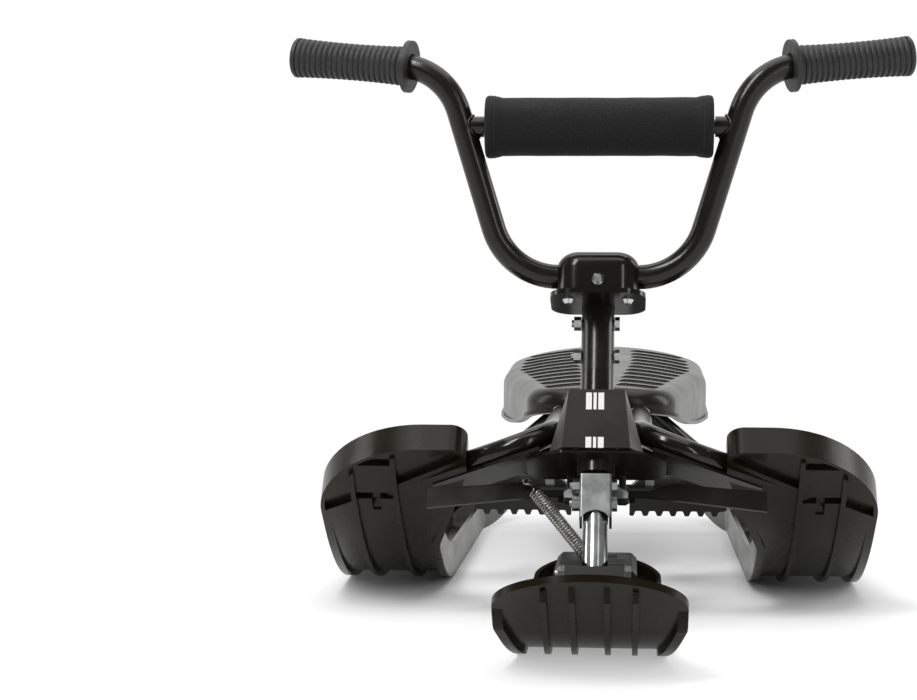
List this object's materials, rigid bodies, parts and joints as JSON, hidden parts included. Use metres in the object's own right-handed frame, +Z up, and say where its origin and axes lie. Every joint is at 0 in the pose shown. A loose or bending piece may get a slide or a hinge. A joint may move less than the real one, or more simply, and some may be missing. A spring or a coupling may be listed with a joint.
{
  "type": "steering sled",
  "caption": "Low snow sled with a ribbed seat, moulded side skis on a bent tube frame, and a handlebar that steers a front ski through a raked column; a toothed foot brake hangs below.",
  "frame": {"origin": "on the ground under the middle of the sled's length, in its middle plane", "axes": "-Y is forward, towards the tip of the front ski; +X is the rider's left; +Z is up"},
  "size_m": [0.517, 1.1814, 0.4743],
  "materials": {
    "black_steel": "gloss black powder coat",
    "zinc_steel": "bright zinc plate",
    "spring_wire": "drawn spring wire",
    "dark_bolts": "black oxide",
    "black_plastic": "moulded, semi-gloss",
    "satin_plastic": "moulded, satin",
    "grip_rubber": "ringed rubber",
    "pad_fabric": "woven cover over foam"
  },
  "bodies": {
    "frame": {"head_tube": "black_steel", "head_bush_upper": "satin_plastic", "head_bush_lower": "satin_plastic", "head_gusset": "black_steel", "head_cover": "black_plastic", "cross_plate": "black_steel", "cross_member": "black_steel", "cross_bolts": "dark_bolts", "main_rail_left": "black_steel", "main_rail_right": "black_steel", "seat_bridge_front": "black_steel", "seat_bridge_rear": "black_steel", "strut_bridge": "black_steel", "rear_strut_left": "black_steel", "rear_strut_right": "black_steel", "strut_screws": "zinc_steel", "ski_left": "black_plastic", "ski_right": "black_plastic", "seat_shell": "black_plastic", "seat_screws": "zinc_steel", "brake_bracket": "black_steel", "brake_axle": "zinc_steel", "return_spring": "spring_wire"},
    "steering": {"steering_tube": "black_steel", "column_tube": "black_steel", "column_bolts": "zinc_steel", "column_nuts": "zinc_steel", "stem_bracket": "black_steel", "bar_clamp": "black_steel", "stem_cover": "black_plastic", "stem_lower_cover": "satin_plastic", "stem_screws": "zinc_steel", "handlebar": "black_steel", "crossbar": "black_steel", "crossbar_pad": "pad_fabric", "grip_left": "grip_rubber", "grip_right": "grip_rubber", "fork_bracket": "zinc_steel", "fork_bolts": "zinc_steel", "fork_nuts": "zinc_steel", "lower_tube": "zinc_steel"},
    "front_ski": {"front_ski_blade": "black_plastic", "front_ski_tower": "black_plastic", "front_tower_screws": "zinc_steel", "tow_knob": "black_plastic", "pivot_bolt": "zinc_steel", "pivot_nut": "zinc_steel"},
    "brake": {"brake_pedal": "black_steel"}
  },
  "joints": [
    {"name": "steering_turn", "type": "hinge", "parent": "frame", "child": "steering", "pos_m": [0, -0.25091, 0.15665], "axis": [0, 0.4695, 0.8829], "range_deg": [-20, 20], "stiffness_Nm_per_rad": 2, "deforming": ["return_spring"]},
    {"name": "front_ski_pitch", "type": "hinge", "parent": "steering", "child": "front_ski", "pos_m": [0, -0.3124, 0.041], "axis": [1, 0, 0], "range_deg": [-15, 10]},
    {"name": "brake_press", "type": "hinge", "parent": "frame", "child": "brake", "pos_m": [0, -0.11891, 0.12165], "axis": [-1, 0, 0], "range_deg": [0, 22], "stiffness_Nm_per_rad": 6, "springref_deg": -11.46}
  ]
}
